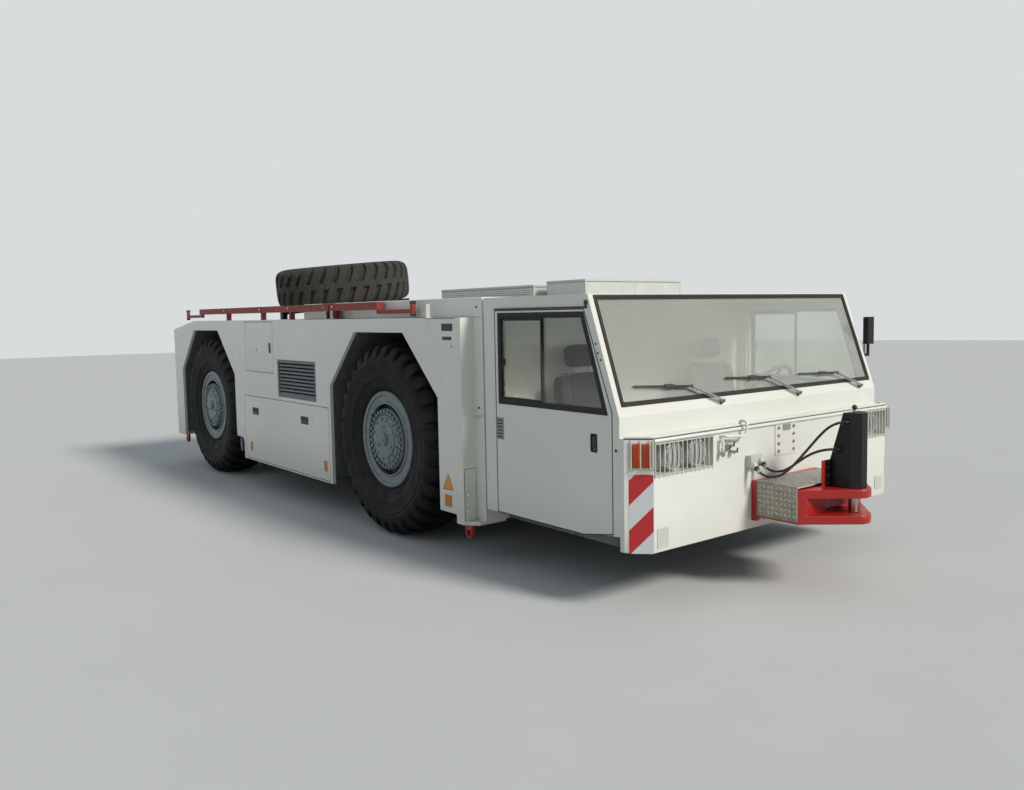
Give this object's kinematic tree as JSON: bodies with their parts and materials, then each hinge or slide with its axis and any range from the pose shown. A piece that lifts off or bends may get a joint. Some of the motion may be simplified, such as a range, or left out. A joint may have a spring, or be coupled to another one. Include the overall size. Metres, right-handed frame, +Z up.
{
  "type": "aircraft pushback tractor",
  "caption": "Low aircraft pushback tractor with a flat deck, front cab, steered wheels and a front pin coupling.",
  "frame": {"origin": "on the floor under the middle of the tractor's length and width", "axes": "+X forward to the front coupling, +Y to the left, +Z up"},
  "size_m": [7.9399, 2.784, 2.2855],
  "materials": {
    "white_paint": "gloss white paint",
    "grey_paint": "satin grey paint",
    "red_paint": "gloss red paint",
    "rim_paint": "satin pale grey-blue paint",
    "tyre_rubber": "matt rubber",
    "black_paint": "satin black paint",
    "cab_glass": "clear glass",
    "lamp_lens": "ribbed lamp glass",
    "vinyl": "black seat cloth",
    "dash_plastic": "moulded plastic",
    "tread_plate": "tread plate",
    "pin_steel": "turned steel",
    "hose_rubber": "smooth rubber hose",
    "roof_box": "satin light grey paint"
  },
  "bodies": {
    "chassis": {"chassis_rails": "grey_paint", "cross_plates": "grey_paint", "ballast_slab": "grey_paint", "cab_subframe": "grey_paint", "bulkhead": "white_paint", "side_wall_right": "white_paint", "side_wall_left": "white_paint", "rear_wall": "white_paint", "deck": "white_paint", "hood": "white_paint", "wheelhouses": "black_paint", "lashing_eyes": "red_paint", "engine_block": "grey_paint", "grilles": "grey_paint", "cab_shell": "white_paint", "windscreen": "cab_glass", "seats": "vinyl", "dashboard": "dash_plastic", "wipers": "black_paint", "mirror": "black_paint", "bumper": "white_paint", "lamps": "lamp_lens", "lamp_guards": "roof_box", "grab_handle": "white_paint", "connector_block": "roof_box", "hose_upper": "hose_rubber", "hose_lower": "hose_rubber", "hitch_frame": "red_paint", "step_plate": "tread_plate", "pin_cover": "black_paint", "rear_coupling": "red_paint", "axle_front": "grey_paint", "axle_rear": "grey_paint", "spare_rack": "black_paint", "spare_rim": "rim_paint", "spare_tyre": "tyre_rubber", "deck_rail": "red_paint", "roof_units": "roof_box"},
    "door_right": {"door_right": "white_paint", "door_glass_right": "cab_glass"},
    "door_left": {"door_left": "white_paint", "door_glass_left": "cab_glass"},
    "hatch_right": {"hatch_right": "white_paint"},
    "hatch_left": {"hatch_left": "white_paint"},
    "locker_lid_right": {"locker_lid_right": "white_paint"},
    "locker_lid_left": {"locker_lid_left": "white_paint"},
    "tow_pin": {"tow_pin": "pin_steel"},
    "rear_pin": {"rear_pin": "pin_steel"},
    "knuckle_front_right": {"knuckle_front_right": "grey_paint"},
    "wheel_front_right": {"rim_front_right": "rim_paint", "tyre_front_right": "tyre_rubber"},
    "knuckle_front_left": {"knuckle_front_left": "grey_paint"},
    "wheel_front_left": {"rim_front_left": "rim_paint", "tyre_front_left": "tyre_rubber"},
    "knuckle_rear_right": {"knuckle_rear_right": "grey_paint"},
    "wheel_rear_right": {"rim_rear_right": "rim_paint", "tyre_rear_right": "tyre_rubber"},
    "knuckle_rear_left": {"knuckle_rear_left": "grey_paint"},
    "wheel_rear_left": {"rim_rear_left": "rim_paint", "tyre_rear_left": "tyre_rubber"}
  },
  "joints": [
    {"name": "steer_front_right", "type": "hinge", "parent": "chassis", "child": "knuckle_front_right", "pos_m": [0.815, -1.09, 0.73], "axis": [0, 0, 1], "range_deg": [-30, 30]},
    {"name": "spin_front_right", "type": "hinge", "parent": "knuckle_front_right", "child": "wheel_front_right", "pos_m": [0.815, -1.165, 0.73], "axis": [0, 1, 0], "continuous": true},
    {"name": "steer_front_left", "type": "hinge", "parent": "chassis", "child": "knuckle_front_left", "pos_m": [0.815, 1.09, 0.73], "axis": [0, 0, 1], "range_deg": [-30, 30]},
    {"name": "spin_front_left", "type": "hinge", "parent": "knuckle_front_left", "child": "wheel_front_left", "pos_m": [0.815, 1.165, 0.73], "axis": [0, 1, 0], "continuous": true},
    {"name": "steer_rear_right", "type": "hinge", "parent": "chassis", "child": "knuckle_rear_right", "pos_m": [-2.895, -1.09, 0.73], "axis": [0, 0, 1], "range_deg": [-30, 30]},
    {"name": "spin_rear_right", "type": "hinge", "parent": "knuckle_rear_right", "child": "wheel_rear_right", "pos_m": [-2.895, -1.165, 0.73], "axis": [0, 1, 0], "continuous": true},
    {"name": "steer_rear_left", "type": "hinge", "parent": "chassis", "child": "knuckle_rear_left", "pos_m": [-2.895, 1.09, 0.73], "axis": [0, 0, 1], "range_deg": [-30, 30]},
    {"name": "spin_rear_left", "type": "hinge", "parent": "knuckle_rear_left", "child": "wheel_rear_left", "pos_m": [-2.895, 1.165, 0.73], "axis": [0, 1, 0], "continuous": true},
    {"name": "swing_door_right", "type": "hinge", "parent": "chassis", "child": "door_right", "pos_m": [2.145, -1.291, 1], "axis": [0, 0, -1], "range_deg": [0, 85]},
    {"name": "swing_door_left", "type": "hinge", "parent": "chassis", "child": "door_left", "pos_m": [2.145, 1.291, 1], "axis": [0, 0, 1], "range_deg": [0, 85]},
    {"name": "swing_hatch_right", "type": "hinge", "parent": "chassis", "child": "hatch_right", "pos_m": [-1.787, -1.392, 1.39], "axis": [0, 0, -1], "range_deg": [0, 100]},
    {"name": "swing_hatch_left", "type": "hinge", "parent": "chassis", "child": "hatch_left", "pos_m": [-1.787, 1.392, 1.39], "axis": [0, 0, 1], "range_deg": [0, 100]},
    {"name": "drop_locker_lid_right", "type": "hinge", "parent": "chassis", "child": "locker_lid_right", "pos_m": [-0.94, -1.392, 0.29], "axis": [1, 0, 0], "range_deg": [0, 90]},
    {"name": "drop_locker_lid_left", "type": "hinge", "parent": "chassis", "child": "locker_lid_left", "pos_m": [-0.94, 1.392, 0.29], "axis": [-1, 0, 0], "range_deg": [0, 90]},
    {"name": "lift_tow_pin", "type": "slide", "parent": "chassis", "child": "tow_pin", "axis": [0, 0, 1], "range_m": [0, 0.16]},
    {"name": "lift_rear_pin", "type": "slide", "parent": "chassis", "child": "rear_pin", "axis": [0, 0, 1], "range_m": [0, 0.14]}
  ],
  "couplings": [
    {"joint": "steer_front_right", "follows": "steer_front_left", "ratio": 1},
    {"joint": "steer_rear_right", "follows": "steer_rear_left", "ratio": 1}
  ]
}
